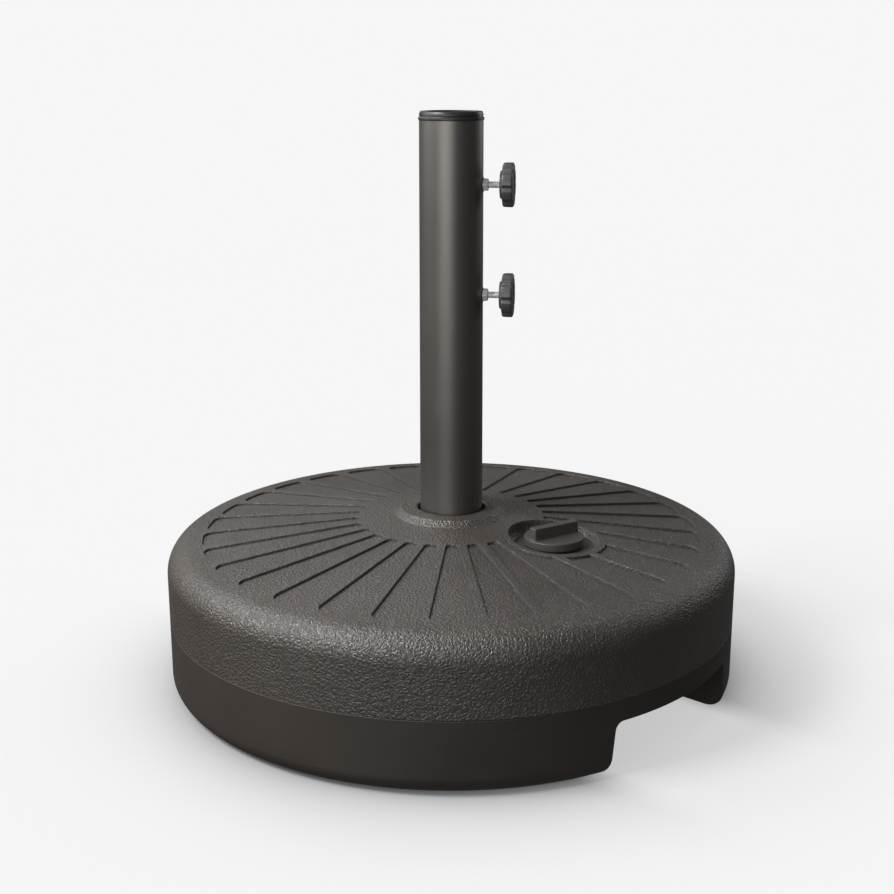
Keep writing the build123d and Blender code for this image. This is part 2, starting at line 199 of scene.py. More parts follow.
def ease(t):
    t = np.clip(t, 0, 1)
    return t * t * t * (t * (6 * t - 15) + 10)


def cdt(points, edges, keep):
    out = delaunay_2d_cdt([Vector((float(x), float(y))) for x, y in points], edges, [], 0, 1e-5)
    pts = np.array([(p.x, p.y) for p in out[0]])
    tris = np.array([t for t in out[2] if len(t) == 3])
    mid = pts[tris].mean(axis=1)
    tris = tris[keep(mid)]
    return pts, tris


class Net:
    """Points and loops for one constrained triangulation."""
    def __init__(self):
        self.p, self.e = [], []

    def loop(self, pts, closed=True):
        s = len(self.p)
        self.p += [tuple(map(float, q[:2])) for q in pts]
        n = len(pts)
        self.e += [(s + i, s + (i + 1) % n) for i in range(n if closed else n - 1)]

    def dots(self, pts):
        self.p += [tuple(map(float, q[:2])) for q in pts]


# ------------------------------------------------------------------ materials
class Tree:
    """Short way to write a node material."""
    def __init__(self, name):
        self.m = bpy.data.materials.new(name)
        self.m.use_nodes = True
        self.t = self.m.node_tree
        self.bsdf = self.t.nodes["Principled BSDF"]
        self.coord = self.t.nodes.new("ShaderNodeTexCoord").outputs["Object"]

    def node(self, kind, **props):
        n = self.t.nodes.new(kind)
        for k, v in props.items():
            setattr(n, k, v)
        return n

    def link(self, a, b):
        self.t.links.new(a, b)

    def put(self, socket, value):
        if hasattr(value, "is_output") or isinstance(value, bpy.types.NodeSocket):
            self.link(value, socket)
        else:
            socket.default_value = value

    def scaled(self, vector, scale):
        n = self.node("ShaderNodeMapping")
        self.link(vector, n.inputs["Vector"])
        n.inputs["Scale"].default_value = scale if hasattr(scale, "__len__") else (scale,) * 3
        return n.outputs["Vector"]

    def noise(self, scale, detail=3.0, rough=0.5, vector=None, distortion=0.0):
        n = self.node("ShaderNodeTexNoise")
        self.link(vector or self.coord, n.inputs["Vector"])
        n.inputs["Scale"].default_value = scale
        n.inputs["Detail"].default_value = detail
        n.inputs["Roughness"].default_value = rough
        n.inputs["Distortion"].default_value = distortion
        return n.outputs["Fac"]

    def noise_vec(self, scale, detail=2.0):
        n = self.node("ShaderNodeTexNoise")
        self.link(self.coord, n.inputs["Vector"])
        n.inputs["Scale"].default_value = scale
        n.inputs["Detail"].default_value = detail
        return n.outputs["Color"]

    def voronoi(self, scale, feature="F1", vector=None, smooth=None, rand=1.0):
        n = self.node("ShaderNodeTexVoronoi", feature=feature)
        self.link(vector or self.coord, n.inputs["Vector"])
        n.inputs["Scale"].default_value = scale
        n.inputs["Randomness"].default_value = rand
        if smooth is not None:
            n.inputs["Smoothness"].default_value = smooth
        return n.outputs["Distance"]

    def math(self, op, a, b=None, c=None, clamp=False):
        n = self.node("ShaderNodeMath", operation=op, use_clamp=clamp)
        self.put(n.inputs[0], a)
        if b is not None: self.put(n.inputs[1], b)
        if c is not None: self.put(n.inputs[2], c)
        return n.outputs[0]

    def vmath(self, op, a, b=None, scale=None):
        n = self.node("ShaderNodeVectorMath", operation=op)
        self.put(n.inputs[0], a)
        if b is not None: self.put(n.inputs[1], b)
        if scale is not None: n.inputs["Scale"].default_value = scale
        return n.outputs["Value"] if op in ("LENGTH", "DISTANCE", "DOT_PRODUCT") else n.outputs["Vector"]

    def span(self, value, lo, hi, to_lo=0.0, to_hi=1.0, smooth=True):
        n = self.node("ShaderNodeMapRange", interpolation_type="SMOOTHSTEP" if smooth else "LINEAR")
        self.put(n.inputs["Value"], value)
        n.inputs["From Min"].default_value = lo
        n.inputs["From Max"].default_value = hi
        n.inputs["To Min"].default_value = to_lo
        n.inputs["To Max"].default_value = to_hi
        return n.outputs["Result"]

    def mix(self, fac, a, b):
        n = self.node("ShaderNodeMix", data_type="RGBA")
        self.put(n.inputs[0], fac)
        self.put(n.inputs[6], a)
        self.put(n.inputs[7], b)
        return n.outputs[2]

    def xyz(self):
        n = self.node("ShaderNodeSeparateXYZ")
        self.link(self.coord, n.inputs[0])
        return n.outputs

    def pointiness(self):
        return self.node("ShaderNodeNewGeometry").outputs["Pointiness"]

    def bump(self, height, strength, distance, normal=None):
        n = self.node("ShaderNodeBump")
        self.put(n.inputs["Height"], height)
        self.put(n.inputs["Strength"], strength)
        n.inputs["Distance"].default_value = distance
        if normal is not None:
            self.link(normal, n.inputs["Normal"])
        return n.outputs["Normal"]

    def done(self, colour, rough, normal=None, metallic=0.0, specular=0.5, coat=None, ior=1.5):
        b = self.bsdf
        self.put(b.inputs["Base Color"], colour)
        self.put(b.inputs["Roughness"], rough)
        b.inputs["Metallic"].default_value = metallic
        b.inputs["Specular IOR Level"].default_value = specular
        b.inputs["IOR"].default_value = ior
        if coat:
            b.inputs["Coat Weight"].default_value = coat[0]
            b.inputs["Coat Roughness"].default_value = coat[1]
        if normal is not None:
            self.link(normal, b.inputs["Normal"])
        return self.m


def rgb(r, g, b):
    return (r, g, b, 1.0)


def dust(t, colour, pale, amount):
    """Faint paler patches, as handled plastic has."""
    patch = t.span(t.noise(9.0, 4, 0.6), 0.45, 0.75, 0.0, amount)
    return t.mix(patch, colour, pale)


def grained_plastic():
    t = Tree("hdpe_leather_grain")
    xyz = t.xyz()
    wobble = t.vmath("MULTIPLY_ADD", t.noise_vec(150.0, 2), (0.0050,) * 3)
    t.link(t.coord, wobble.node.inputs[2])
    cells = t.voronoi(305.0, "DISTANCE_TO_EDGE", wobble, None, 1.0)
    pebble = t.span(cells, 0.0, 0.32)
    small = t.span(t.voronoi(680.0, "DISTANCE_TO_EDGE", wobble, None, 1.0), 0.0, 0.35)
    fine = t.noise(1100.0, 3, 0.6)
    worms = t.noise(230.0, 2, 0.5, None, 1.5)
    grain = t.math("ADD", t.math("MULTIPLY", pebble, 0.75), t.math("ADD", t.math("MULTIPLY", small, 0.25), t.math("ADD", t.math("MULTIPLY", worms, 0.5), t.math("MULTIPLY", fine, 0.25))))
    # the dish's floor and the neck are smooth
    offset = t.vmath("SUBTRACT", t.coord, (FX * 0.001, FY * 0.001, 0.0))
    flat = t.vmath("MULTIPLY", offset, (1.0, 1.0, 0.0))
    away = t.vmath("LENGTH", flat)
    outside = t.span(away, 0.0358, 0.0372)
    # and so is the inside of the socket
    axis = t.vmath("LENGTH", t.vmath("MULTIPLY", t.coord, (1.0, 1.0, 0.0)))
    outside = t.math("MULTIPLY", outside, t.span(axis, 0.0296, 0.0312))
    low = t.noise(14.0, 3, 0.55)
    base = t.mix(t.span(low, 0.3, 0.7), rgb(0.049, 0.0407, 0.0347), rgb(0.0562, 0.0470, 0.0405))
    base = t.mix(t.span(cells, 0.0, 0.14, 0.45, 0.0), base, rgb(0.034, 0.029, 0.025))
    base = dust(t, base, rgb(0.115, 0.107, 0.098), 0.16)
    wear = t.math("MULTIPLY", t.span(t.pointiness(), 0.515, 0.56), 0.35)
    base = t.mix(wear, base, rgb(0.125, 0.115, 0.105))
    # painted shade: the corner mask lays a near-black colour into the panels' edge walls and corners, and makes them
    # rougher there
    corner_shade = t.math("MULTIPLY", t.node("ShaderNodeAttribute", attribute_name="corner").outputs["Fac"], 0.85)
    base = t.mix(corner_shade, base, rgb(0.008, 0.007, 0.006))
    rough = t.math("ADD", t.span(low, 0.25, 0.75, 0.36, 0.43), t.math("MULTIPLY", fine, 0.06))
    rough = t.math("ADD", rough, t.math("MULTIPLY", corner_shade, 0.3))
    normal = t.bump(grain, t.math("MULTIPLY", outside, 0.60), 0.0010)
    normal = t.bump(t.noise(38.0, 2), 0.12, 0.0015, normal)
    return t.done(base, rough, normal, specular=0.78)


def smooth_plastic(name, dark, light, rough=0.42, speck=0.05, specular=0.4):
    t = Tree(name)
    low = t.noise(11.0, 3, 0.5)
    base = t.mix(t.span(low, 0.3, 0.7), rgb(*dark), rgb(*light))
    scuff = t.scaled(t.coord, (14.0, 14.0, 160.0))
    lines = t.span(t.noise(3.0, 3, 0.55, scuff), 0.60, 0.74)
    base = t.mix(t.math("MULTIPLY", lines, 0.22), base, rgb(*(c * 1.7 for c in light)))
    wear = t.math("MULTIPLY", t.span(t.pointiness(), 0.52, 0.58), 0.4)
    base = t.mix(wear, base, rgb(*(c * 1.8 for c in light)))
    fine = t.noise(1300.0, 2, 0.6)
    r = t.math("ADD", t.span(low, 0.25, 0.75, rough - 0.04, rough + 0.05), t.math("MULTIPLY", lines, 0.08))
    normal = t.bump(fine, 0.10, 0.0004)
    normal = t.bump(t.noise(45.0, 2), speck, 0.002, normal)
    return t.done(base, r, normal, specular=specular)


def powder_coat():
    t = Tree("powder_coat_umber")
    peel = t.noise(420.0, 2, 0.5)
    fine = t.noise(2200.0, 1, 0.5)
    low = t.noise(7.0, 3, 0.5)
    base = t.mix(t.span(low, 0.3, 0.7), rgb(0.150, 0.141, 0.131), rgb(0.167, 0.158, 0.147))
    fleck = t.span(t.noise(2600.0, 1, 0.5), 0.60, 0.72, 0.0, 0.25)
    base = t.mix(fleck, base, rgb(0.32, 0.305, 0.285))
    scuff = t.scaled(t.coord, (60.0, 60.0, 6.0))
    rub = t.span(t.noise(2.2, 4, 0.6, scuff), 0.62, 0.78, 0.0, 0.18)
    base = t.mix(rub, base, rgb(0.26, 0.25, 0.235))
    rough = t.math("ADD", t.span(low, 0.25, 0.75, 0.40, 0.44), t.math("MULTIPLY", rub, 0.15))
    normal = t.bump(peel, 0.10, 0.0006)
    normal = t.bump(fine, 0.06, 0.0002, normal)
    return t.done(base, rough, normal, metallic=0.85, specular=0.5)


def zinc(name, tint=(0.88, 0.89, 0.90), rough=0.42, metallic=1.0):
    t = Tree(name)
    brushed = t.scaled(t.coord, (400.0, 400.0, 60.0))
    lines = t.noise(3.0, 3, 0.6, brushed)
    low = t.noise(120.0, 3, 0.6)
    base = t.mix(t.span(low, 0.35, 0.7), rgb(*tint), rgb(*(c * 0.78 for c in tint)))
    tarnish = t.span(t.noise(300.0, 4, 0.65), 0.62, 0.78, 0.0, 0.25)
    base = t.mix(tarnish, base, rgb(0.42, 0.40, 0.36))
    r = t.math("ADD", t.span(lines, 0.3, 0.7, rough - 0.06, rough + 0.10), t.math("MULTIPLY", tarnish, 0.3))
    normal = t.bump(lines, 0.08, 0.0002)
    return t.done(base, r, normal, metallic=metallic)


def rubber():
    t = Tree("seal_rubber")
    low = t.noise(60.0, 3, 0.6)
    base = t.mix(low, rgb(0.010, 0.010, 0.010), rgb(0.022, 0.021, 0.020))
    normal = t.bump(t.noise(1500.0, 3, 0.6), 0.25, 0.0003)
    return t.done(base, t.span(low, 0.3, 0.7, 0.62, 0.74), normal, specular=0.35)


def nylon():
    t = Tree("natural_nylon")
    low = t.noise(150.0, 3, 0.6)
    base = t.mix(low, rgb(0.70, 0.68, 0.60), rgb(0.78, 0.76, 0.70))
    normal = t.bump(t.noise(1200.0, 2, 0.5), 0.15, 0.0002)
    m = t.done(base, t.span(low, 0.3, 0.7, 0.35, 0.45), normal, specular=0.5)
    t.bsdf.inputs["Subsurface Weight"].default_value = 0.08
    t.bsdf.inputs["Subsurface Scale"].default_value = 0.002
    return m


def weld_paint():
    t = Tree("weld_bead_paint")
    low = t.noise(220.0, 3, 0.6)
    base = t.mix(low, rgb(0.022, 0.020, 0.018), rgb(0.045, 0.042, 0.038))
    normal = t.bump(t.noise(600.0, 3, 0.6), 0.35, 0.0005)
    return t.done(base, t.span(low, 0.3, 0.7, 0.35, 0.5), normal)


M_GRAIN = grained_plastic()
M_SMOOTH = smooth_plastic("hdpe_smooth_band", (0.036, 0.0296, 0.0252), (0.0425, 0.0355, 0.0305), 0.46, 0.06, 0.36)
M_CAP = smooth_plastic("cap_plastic", (0.056, 0.053, 0.048), (0.067, 0.063, 0.057), 0.42, 0.04, 0.45)
M_TUBE = powder_coat()
M_BLACK = smooth_plastic("bush_plastic", (0.020, 0.020, 0.020), (0.028, 0.028, 0.028), 0.38, 0.03, 0.4)
M_KNOB = smooth_plastic("knob_plastic", (0.060, 0.060, 0.061), (0.074, 0.074, 0.075), 0.42, 0.05, 0.5)
M_ZINC = zinc("zinc_plate", (0.95, 0.95, 0.95), 0.46, 0.45)
M_STEEL = zinc("bare_steel", (0.34, 0.34, 0.34), 0.42)
M_RUBBER = rubber()
M_NYLON = nylon()
M_WELD = weld_paint()

# ------------------------------------------------------------------ tank: profiles
wall_slope = (250.0 - 248.5) / (104.0 - 15.7)
wall_foot_r = 248.5 - wall_slope * 15.7
corner_z = 123.75
corner_r = 248.5 + wall_slope * (corner_z - 15.7)
N_OUT, N_IN = 720, 240
R_EDGE, R_COLLAR = 226.0, 54.0


def wall_r(z):
    return wall_foot_r + wall_slope * z


shoulder = fillet((50.0, cone_z(50.0)), (corner_r, corner_z), (wall_foot_r, 0.0), 22.0, 18)
foot = fillet((corner_r, corner_z), (wall_foot_r, 0.0), (0.0, 0.0), 15.7, 14)

# ------------------------------------------------------------------ tank: top
RIB, PIN, POUT, RIN, ROUT, DEPTH, LAND = 3.5, 82.0, 219.5, 3.6, 9.0, 2.1, 44.2


def panel_sdf(x, y):
    """Distance inside the nearest sunk panel's edge, negative outside it."""
    r = np.hypot(x, y)
    phi = np.degrees(np.arctan2(y, x))
    local = np.abs((phi + 6.0) % 12.0 - 6.0)
    side = r * np.sin(np.radians(6.0 - local)) - RIB

    def corner(a, b, k):
        inner = k - np.hypot(np.maximum(k - a, 0), np.maximum(k - b, 0))
        return np.where((a < k) & (b < k), inner, np.minimum(a, b))

    s = np.minimum(corner(side, POUT - r, ROUT), corner(side, r - PIN, RIN))
    return np.minimum(s, np.hypot(x - FX, y - FY) - LAND)


def panel_outline(s):
    def at(r, a):
        phi = math.radians(6.0) - math.asin((RIB + a) / r)
        return (r * math.cos(phi), r * math.sin(phi))

    half = []
    r0 = PIN + s
    phi1 = math.radians(6.0) - math.asin((RIB + RIN) / r0)
    for phi in np.linspace(0, phi1, 3)[:-1]:
        half.append((r0 * math.cos(phi), r0 * math.sin(phi)))
    for t in np.linspace(0, math.pi / 2, 7):
        half.append(at(PIN + RIN - (RIN - s) * math.cos(t), RIN - (RIN - s) * math.sin(t)))
    for r in np.linspace(PIN + RIN, POUT - ROUT, 54)[1:-1]:
        half.append(at(r, s))
    for t in np.linspace(0, math.pi / 2, 16):
        half.append(at(POUT - ROUT + (ROUT - s) * math.sin(t), ROUT - (ROUT - s) * math.cos(t)))
    r1 = POUT - s
    phi2 = math.radians(6.0) - math.asin((RIB + ROUT) / r1)
    for phi in np.linspace(phi2, 0, 7)[1:]:
        half.append((r1 * math.cos(phi), r1 * math.sin(phi)))
    low = [(x, -y) for x, y in half[1:-1]][::-1]
    return np.array(half + low)[::-1]  # counter-clockwise after the flip


def outside_circle(poly, c, radius, step=1.2):
    """The parts of a polygon that lie outside a circle, as polygons."""
    area = 0.5 * np.sum(poly[:, 0] * np.roll(poly[:, 1], -1) - np.roll(poly[:, 0], -1) * poly[:, 1])
    if area < 0:
        poly = poly[::-1]
    d = np.hypot(poly[:, 0] - c[0], poly[:, 1] - c[1]) - radius
    inside = d < 0
    if not inside.any():
        return [poly]
    if inside.all():
        return []
    n = len(poly)

    def cross(i, j):
        p, q = poly[i] - c, poly[j] - c
        e = q - p
        a, b, k = e @ e, 2 * p @ e, p @ p - radius ** 2
        disc = math.sqrt(max(b * b - 4 * a * k, 0))
        t = [u for u in ((-b - disc) / (2 * a), (-b + disc) / (2 * a)) if -1e-9 <= u <= 1 + 1e-9][0]
        return poly[i] + t * e

    runs = []
    for i in range(n):
        if inside[i] and not inside[(i + 1) % n]:
            run = [cross(i, (i + 1) % n)]
            j = (i + 1) % n
            while not inside[j]:
                run.append(poly[j])
                j = (j + 1) % n
            run.append(cross((j - 1) % n, j))
            clean = [run[0]]
            for p in run[1:]:
                if np.hypot(*(p - clean[-1])) > 0.05:
                    clean.append(p)
            runs.append(clean)
    ang = lambda p: math.atan2(p[1] - c[1], p[0] - c[0])
    left, polys = list(range(len(runs))), []
    while left:
        k = left[0]
        pts, first = [], k
        while True:
            left.remove(k)
            pts += runs[k]
            end = ang(runs[k][-1])
            options = [(((end - ang(runs[m][0])) % (2 * math.pi)), m) for m in left + [first]]
            turn, nxt = min(options)
            steps = max(1, int(turn * radius / step))
            for u in range(1, steps):
                a = end - turn * u / steps
                pts.append(np.array([c[0] + radius * math.cos(a), c[1] + radius * math.sin(a)]))
            if nxt == first:
                break
            k = nxt
        polys.append(np.array(pts))
    return polys


def top_z(x, y):
    r = np.hypot(x, y)
    surface = cone_z(r) - DEPTH * ease((panel_sdf(x, y) + 0.32) / 0.74)
    rho = np.hypot(x - FX, y - FY)
    wall = smax(132.0 + (rho - 36.1) * 1.70, 136.8 + (rho - 38.9) * 14.0, 0.8)
    dish = smax(np.full_like(rho, 132.0), wall, 1.4)
    return np.where(rho < 43.2, smin(surface, dish, 1.1), surface)


net = Net()
net.loop(ring(R_EDGE, 0, N_OUT))
net.loop(ring(R_COLLAR, 0, N_IN))
NECK_RING = 22.0


def filler_ring(radius, n=200):
    p = ring(radius, 0, n)
    p[:, 0] += FX
    p[:, 1] += FY
    return p


for radius in (NECK_RING, 24.5, 27.5, 30.5, 33.0, 34.6, 35.3, 35.7, 36.1, 36.5, 36.9, 37.4, 37.9, 38.3, 38.6, 38.8, 38.95, 39.08, 39.2, 39.32, 39.44, 39.58, 39.75, 40.0, 40.5, 41.2, 42.1, 43.0):
    net.loop(filler_ring(radius))
for s in (-0.34, -0.20, -0.09, 0.00, 0.10, 0.19, 0.29, 0.44, 0.95):
    outline = panel_outline(s)
    for k in range(30):
        a = math.radians(12.0 * k)
        turned = outline @ np.array([[math.cos(a), math.sin(a)], [-math.sin(a), math.cos(a)]])
        near = abs((12.0 * k - 12.0 + 180) % 360 - 180) <= 36
        for poly in (outside_circle(turned, np.array([FX, FY]), LAND + s) if near else [turned]):
            net.loop(poly)
fill = []
for r in np.arange(57.0, 224.6, 4.0):
    step = 2.0 if r > 75 else 3.0
    for phi in np.arange(0.0, 360.0, step):
        fill.append((r * math.cos(math.radians(phi)), r * math.sin(math.radians(phi))))
fill = np.array(fill)
s = panel_sdf(fill[:, 0], fill[:, 1])
rho = np.hypot(fill[:, 0] - FX, fill[:, 1] - FY)
rr = np.hypot(fill[:, 0], fill[:, 1])
good = ((s < -1.6) | (s > 2.0)) & (rho > 43.8) & (rr < 225.0)
net.dots(fill[good])


def keep_top(mid):
    r = np.hypot(mid[:, 0], mid[:, 1])
    q = np.hypot(mid[:, 0] - FX, mid[:, 1] - FY)
    half = math.pi / 200
    return (r < R_EDGE) & (r > R_COLLAR * math.cos(math.pi / N_IN)) & (q > NECK_RING * math.cos(half))


pts, tris = cdt(net.p, net.e, keep_top)
upper = Shell()
upper.triangles(np.column_stack([pts, top_z(pts[:, 0], pts[:, 1])]), tris)

# shoulder and upper wall
prof = [(R_EDGE, cone_z(R_EDGE))] + [(r, z) for r, z in shoulder]
prof += [(wall_r(z), z) for z in np.linspace(shoulder[-1][1], SEAM_Z + 1.2, 8)[1:]]
edge = rounded([(wall_r(SEAM_Z + 1.2), SEAM_Z + 1.2, 0), (wall_r(SEAM_Z), SEAM_Z + 0.03, 0.7), (wall_r(SEAM_Z) - 2, SEAM_Z + 0.03, 0)], 4)
prof += edge[1:]
upper.strip([ring(r, z, N_OUT) for r, z in prof])
# flat joint face, then the socket, its mouth and the collar
last_r = prof[-1][0]


def flat_ring(shell, outer, inner, z):
    n = Net()
    n.loop(outer)
    n.loop(inner)
    ro = np.hypot(outer[:, 0], outer[:, 1]).max()
    ri = np.hypot(inner[:, 0], inner[:, 1]).min()
    p, t = cdt(n.p, n.e, lambda m: (np.hypot(m[:, 0], m[:, 1]) < ro) & (np.hypot(m[:, 0], m[:, 1]) > ri * 0.999))
    shell.triangles(np.column_stack([p, np.full(len(p), z)]), t)


flat_ring(upper, ring(last_r, 0, N_OUT), ring(27.55, 0, N_IN), SEAM_Z + 0.03)
collar = rounded([
    (27.55, SEAM_Z + 0.03, 0), (27.55, 126.0, 3.0), (29.8, 138.0, 3.0), (29.8, 150.5, 1.6),
    (44.3, 150.5, 1.1), (50.0, cone_z(50.0), 0.9), (R_COLLAR, cone_z(R_COLLAR), 0)], 7)
upper.strip([ring(r, z, N_IN) for r, z in collar])
# neck under the cap
neck = rounded([(NECK_RING, 132.0, 0), (21.0, 132.0, 0.5), (21.0, 112.0, 1.0), (0.6, 112.0, 0)], 4)
rows = []
for r, z in neck:
    p = filler_ring(r)
    p[:, 2] = z
    rows.append(p)
upper.strip(rows)
upper.fan(rows[-1], (FX, FY, 112.0))
tank_upper = make("tank_upper", upper, "base", M_GRAIN, ["tank_upper_shell"])
# how deep in a panel's edge corner a point lies: the grained material paints these walls and corners near black there
# as painted shade
where = np.zeros(len(tank_upper.data.vertices) * 3)
tank_upper.data.vertices.foreach_get("co", where)
where = where.reshape(-1, 3) * 1000
deep = panel_sdf(where[:, 0], where[:, 1])
deep = np.clip((deep + 0.15) / 0.2, 0, 1) * np.clip((0.80 - deep) / 0.35, 0, 1)
deep *= (where[:, 2] > 118) & (np.hypot(where[:, 0], where[:, 1]) > 78)
tank_upper.data.attributes.new("corner", "FLOAT", "POINT").data.foreach_set("value", deep.astype(np.float32))

# ------------------------------------------------------------------ tank: lower shell
GFOOT, DRAFT, GH, GX, GR, LIP, INNER = 80.8, 0.1, 44.0, 175.0, 7.0, 1.3, 2.0
DRAFT_L = math.hypot(1.0, DRAFT)
BAND_Z = 50.0
band = [(wall_r(z), z) for z in np.linspace(BAND_Z, foot[0][1], 8)[:-1]] + list(foot)
band_r, band_z = np.array([p[0] for p in band]), np.array([p[1] for p in band])
band_v = np.concatenate([[0], np.cumsum(np.hypot(np.diff(band_r), np.diff(band_z)))])


def r_at(z):
    return np.interp(z, band_z[::-1], band_r[::-1])


def v_at(z):
    return np.interp(z, band_z[::-1], band_v[::-1])


def z_at(v):
    return np.interp(v, band_v, band_z)


def rv_at(v):
    return np.interp(v, band_v, band_r)


lower = Shell()
top_edge = rounded([(wall_r(SEAM_Z) - 2, SEAM_Z - 0.03, 0), (wall_r(SEAM_Z), SEAM_Z - 0.03, 0.7), (wall_r(SEAM_Z - 1.2), SEAM_Z - 1.2, 0)], 4)
lip_r = top_edge[0][0] + 0.0
rows = [ring(r, z, N_OUT) for r, z in top_edge[1:]]
rows += [ring(wall_r(z), z, N_OUT) for z in (57.0, 53.0, BAND_Z)]
lower.strip(rows)
joint_r = top_edge[1][0]
flat_ring(lower, ring(joint_r, 0, N_OUT), ring(27.55, 0, N_IN), SEAM_Z - 0.03)

SECTOR = 26.0
v_rows = list(band_v)
step = 360.0 / N_OUT
# plain sectors
for lo, hi in ((SECTOR, 180 - SECTOR), (180 + SECTOR, 360 - SECTOR)):
    ang = np.radians(np.arange(lo, hi + step / 2, step))
    lower.strip([np.stack([r * np.cos(ang), r * np.sin(ang), np.full(len(ang), z)], 1) for r, z in band], closed=False)


def half_width(z, s=0.0):
    return GFOOT - DRAFT * z + s * DRAFT_L


def grip_outline(s):
    """The pocket's outline in (y, z), pushed outwards by s, from y>0 at the floor round to y<0."""
    t0 = math.atan(DRAFT)
    cy, cz = GFOOT - DRAFT * (GH - GR) - GR * DRAFT_L, GH - GR
    zt = cz + (GR + s) * math.sin(t0)
    side = [(half_width(z_at(v), s), z_at(v)) for v in np.linspace(band_v[-1], v_at(zt), 34)]
    arc = [(cy + (GR + s) * math.cos(t), cz + (GR + s) * math.sin(t)) for t in np.linspace(t0, math.pi / 2, 13)[1:]]
    roof = [(y, GH + s) for y in np.linspace(cy, 0, 24)[1:]]
    half = side + arc + roof
    return np.array(half + [(-y, z) for y, z in half[:-1]][::-1])


def on_wall(outline, depth=0.0):
    y, z = outline[:, 0], outline[:, 1]
    return np.stack([np.sqrt(r_at(z) ** 2 - y ** 2) - depth, y, z], 1)


def unrolled(p):
    return np.stack([np.degrees(np.arctan2(p[:, 1], p[:, 0])) * 4.35, v_at(p[:, 2])], 1)


loop0 = on_wall(grip_outline(LIP))
net = Net()
inner_uv = unrolled(loop0)
end_u = inner_uv[0][0]
vmax = band_v[-1]
cols = np.arange(-SECTOR, SECTOR + step / 2, step) * 4.35
boundary = [(u, vmax) for u in cols[::-1] if u > end_u + 0.3]
boundary = [(cols[-1], v) for v in v_rows[:-1]] + boundary  # right side, down, then in to the pocket
boundary += [tuple(p) for p in inner_uv]
boundary += [(u, vmax) for u in cols[::-1] if u < -end_u - 0.3]
boundary += [(cols[0], v) for v in v_rows[::-1][1:]]
boundary += [(u, 0.0) for u in cols[1:-1]]
net.loop(boundary)
support = unrolled(on_wall(grip_outline(LIP + 1.2)))
net.loop([q for q in support if q[1] < vmax - 1.0], closed=False)
poly = np.array(boundary)


def in_poly(m, poly):
    x, y = m[:, 0], m[:, 1]
    inside = np.zeros(len(m), bool)
    xs, ys = poly[:, 0], poly[:, 1]
    xj, yj = np.roll(xs, 1), np.roll(ys, 1)
    for a, b, c, d in zip(xs, ys, xj, yj):
        if b != d:
            hit = ((b > y) != (d > y)) & (x < (c - a) * (y - b) / (d - b) + a)
            inside ^= hit
    return inside


cand = np.array([(u, v) for u in cols[2:-2:2] for v in np.arange(3.0, vmax - 2, 3.5)])
big = unrolled(on_wall(grip_outline(LIP + 2.4)))
hole = np.vstack([big, [(-end_u - 2.6 * 1.05, vmax + 5), (end_u + 2.6 * 1.05, vmax + 5)]])
cand = cand[in_poly(cand, poly) & ~in_poly(cand, hole)]
net.dots(cand)
pts, tris = cdt(net.p, net.e, lambda m: in_poly(m, poly))
ang = np.radians(pts[:, 0] / 4.35)
rad, zz = rv_at(pts[:, 1]), z_at(pts[:, 1])
wall_pts = np.stack([rad * np.cos(ang), rad * np.sin(ang), zz], 1)
# the pocket's outline exactly, so that the lip welds
for i, p in enumerate(inner_uv):
    j = np.argmin(np.hypot(pts[:, 0] - p[0], pts[:, 1] - p[1]))
    wall_pts[j] = loop0[i]
rows = [loop0]
for t in np.linspace(0, math.pi / 2, 7)[1:]:
    rows.append(on_wall(grip_outline(LIP * (1 - math.sin(t))), LIP * (1 - math.cos(t))))
start = rows[-1]
flat_o = grip_outline(0.0)
for u in np.linspace(0, 1, 9)[1:]:
    x = start[:, 0] * (1 - u) + (GX + INNER) * u
    rows.append(np.stack([x, flat_o[:, 0], flat_o[:, 1]], 1))
for t in np.linspace(0, math.pi / 2, 6)[1:]:
    o = grip_outline(-INNER * (1 - math.cos(t)))
    rows.append(np.stack([np.full(len(o), GX + INNER * (1 - math.sin(t))), o[:, 0], o[:, 1]], 1))
last = rows[-1]
bottom = [(y, 0.0) for y in np.linspace(-half_width(0.0, -INNER), half_width(0.0, -INNER), 31)]
net = Net()
back_edge = [(p[1], p[2]) for p in last] + bottom[1:-1]
net.loop(back_edge)
net.dots([(y, z) for y in np.linspace(-66, 66, 12) for z in (10.0, 20.0, 30.0)])
back_pts, back_tris = cdt(net.p, net.e, lambda m: in_poly(m, np.array(back_edge)))
back = np.stack([np.full(len(back_pts), GX), back_pts[:, 0], back_pts[:, 1]], 1)


def half_turn(p):
    q = np.array(p, float)
    q[:, 0] *= -1
    q[:, 1] *= -1
    return q


for turn in (lambda p: p, half_turn):
    lower.triangles(turn(wall_pts), tris)
    lower.strip([turn(r) for r in rows], closed=False)
    lower.triangles(turn(back), back_tris)

# underside: foot face, then the raised middle with the anchor bolt's seat
foot_r = band_r[-1]
outer = []
right = [r[0] for r in rows]            # z = 0 ends at y > 0
left = [r[-1] for r in rows]            # z = 0 ends at y < 0
arc_lo = math.degrees(math.atan2(right[0][1], right[0][0]))
for turn in (0, 1):
    sign = -1 if turn else 1
    outer += [(sign * p[0], sign * p[1]) for p in left]
    outer += [(sign * GX, sign * y) for y, _ in bottom[1:-1]]
    outer += [(sign * p[0], sign * p[1]) for p in right[::-1]]
    for d in np.arange(0, 180 + step / 2, step):
        if arc_lo + 0.07 < d < 180 - arc_lo - 0.07:
            outer.append((sign * foot_r * math.cos(math.radians(d)), sign * foot_r * math.sin(math.radians(d))))
clean = [outer[0]]
for p in outer[1:]:
    if math.hypot(p[0] - clean[-1][0], p[1] - clean[-1][1]) > 1e-4:
        clean.append(p)
outer = np.array(clean)
recess = rounded([(152.0, 0.0, 0), (150.0, 0.0, 1.0), (150.0, 3.0, 1.0), (24.0, 3.0, 0.8), (24.0, 14.0, 0.6), (5.5, 14.0, 0),
                  (5.5, 22.0, 0), (27.55, 22.0, 0.8), (27.55, SEAM_Z - 0.03, 0)], 4)
net = Net()
net.loop(outer)
